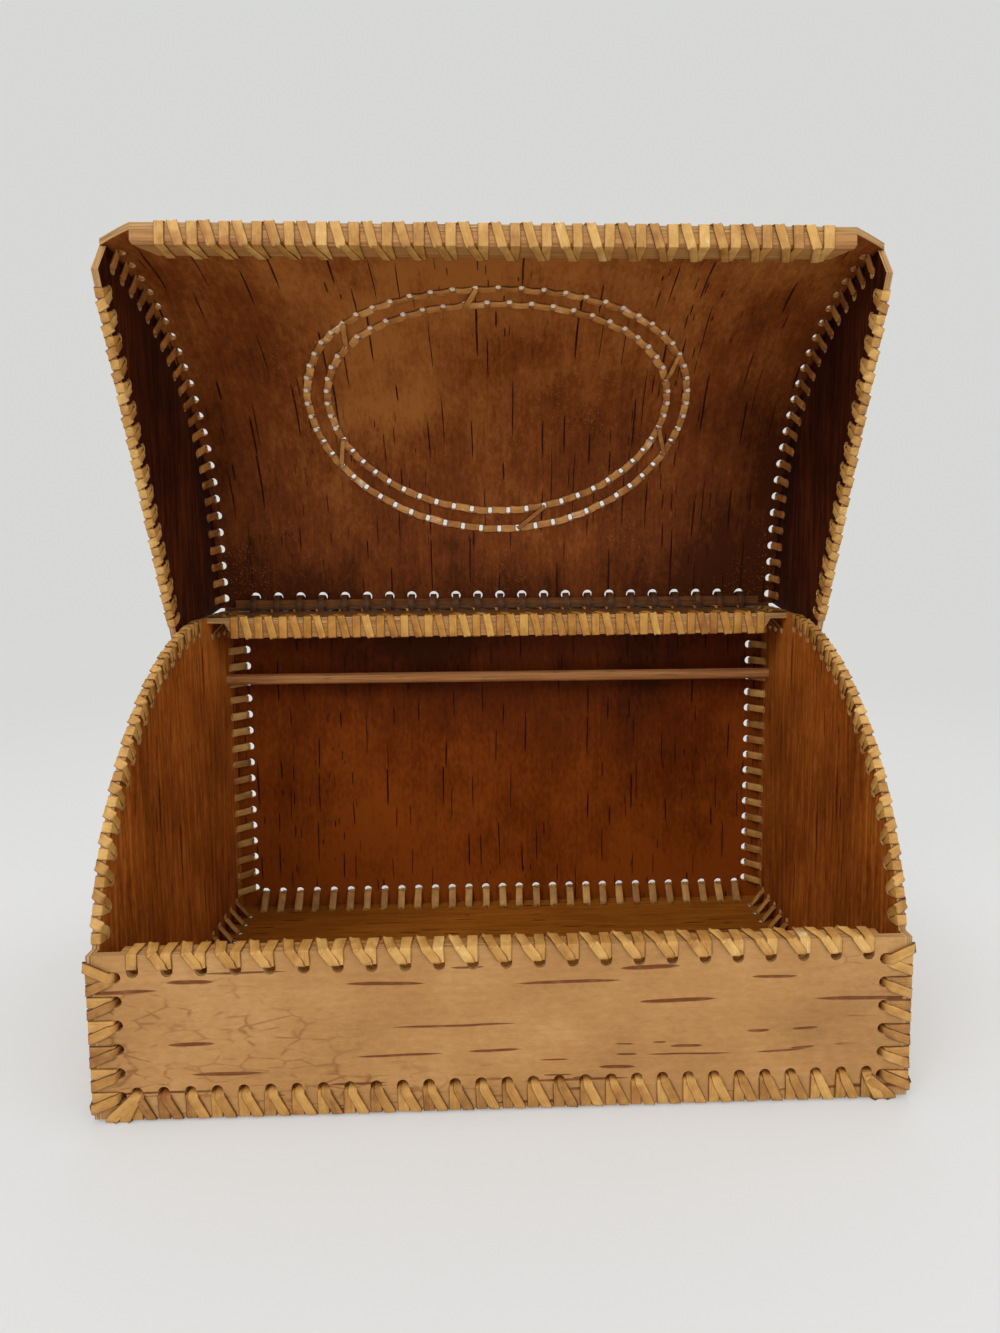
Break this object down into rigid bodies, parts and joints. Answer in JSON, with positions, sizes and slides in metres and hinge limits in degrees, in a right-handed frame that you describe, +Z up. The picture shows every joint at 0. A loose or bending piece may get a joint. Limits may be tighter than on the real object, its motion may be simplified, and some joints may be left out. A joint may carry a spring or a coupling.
{
  "type": "birch bark bread box",
  "caption": "Rectangular bark box with quarter-round sides, a low front and a curved lid on a laced hinge, shown open; all seams are whip-stitched with bast.",
  "frame": {"origin": "middle of the floor's underside, midway between the front and back panels' faces", "axes": "+X to the right as seen from the front, +Y to the back, +Z up"},
  "size_m": [0.3664, 0.2078, 0.3861],
  "materials": {
    "bark_outside": "smooth birch bark with dark horizontal lenticels",
    "bark_inside": "matt inner bark, red brown",
    "bast": "satin split bast strip",
    "split_wood": "raw split wood",
    "rod_wood": "raw peeled stick"
  },
  "bodies": {
    "box": {"floor_outer": "bark_outside", "floor_lining": "bark_inside", "front_outer": "bark_outside", "front_lining": "bark_inside", "back_outer": "bark_outside", "back_lining": "bark_inside", "left_side_outer": "bark_outside", "left_side_lining": "bark_inside", "right_side_outer": "bark_outside", "right_side_lining": "bark_inside", "shelf_outer": "bark_outside", "shelf_lining": "bark_inside", "front_rim_lath": "split_wood", "shelf_lath": "split_wood", "cross_rod": "rod_wood", "front_rim_lacing": "bast", "front_floor_lacing": "bast", "back_floor_lacing": "bast", "left_floor_lacing": "bast", "right_floor_lacing": "bast", "front_left_corner_lacing": "bast", "front_right_corner_lacing": "bast", "back_left_corner_lacing": "bast", "back_right_corner_lacing": "bast", "left_rim_lacing": "bast", "right_rim_lacing": "bast", "shelf_front_lacing": "bast", "shelf_left_lacing": "bast", "shelf_right_lacing": "bast", "hinge_lacing": "bast"},
    "lid": {"lid_outer": "bark_outside", "lid_lining": "bark_inside", "lid_left_cheek_outer": "bark_outside", "lid_left_cheek_lining": "bark_inside", "lid_right_cheek_outer": "bark_outside", "lid_right_cheek_lining": "bark_inside", "lid_front_lath": "split_wood", "lid_rear_strip": "split_wood", "lid_oval": "bark_outside", "lid_front_lacing": "bast", "lid_left_seam_lacing": "bast", "lid_right_seam_lacing": "bast", "lid_left_rim_lacing": "bast", "lid_right_rim_lacing": "bast", "oval_outer_lacing": "bast", "oval_inner_lacing": "bast"}
  },
  "joints": [
    {"name": "lid_hinge", "type": "hinge", "parent": "box", "child": "lid", "pos_m": [0, 0.0975, 0.203], "axis": [1, 0, 0], "range_deg": [-12, 82]}
  ]
}
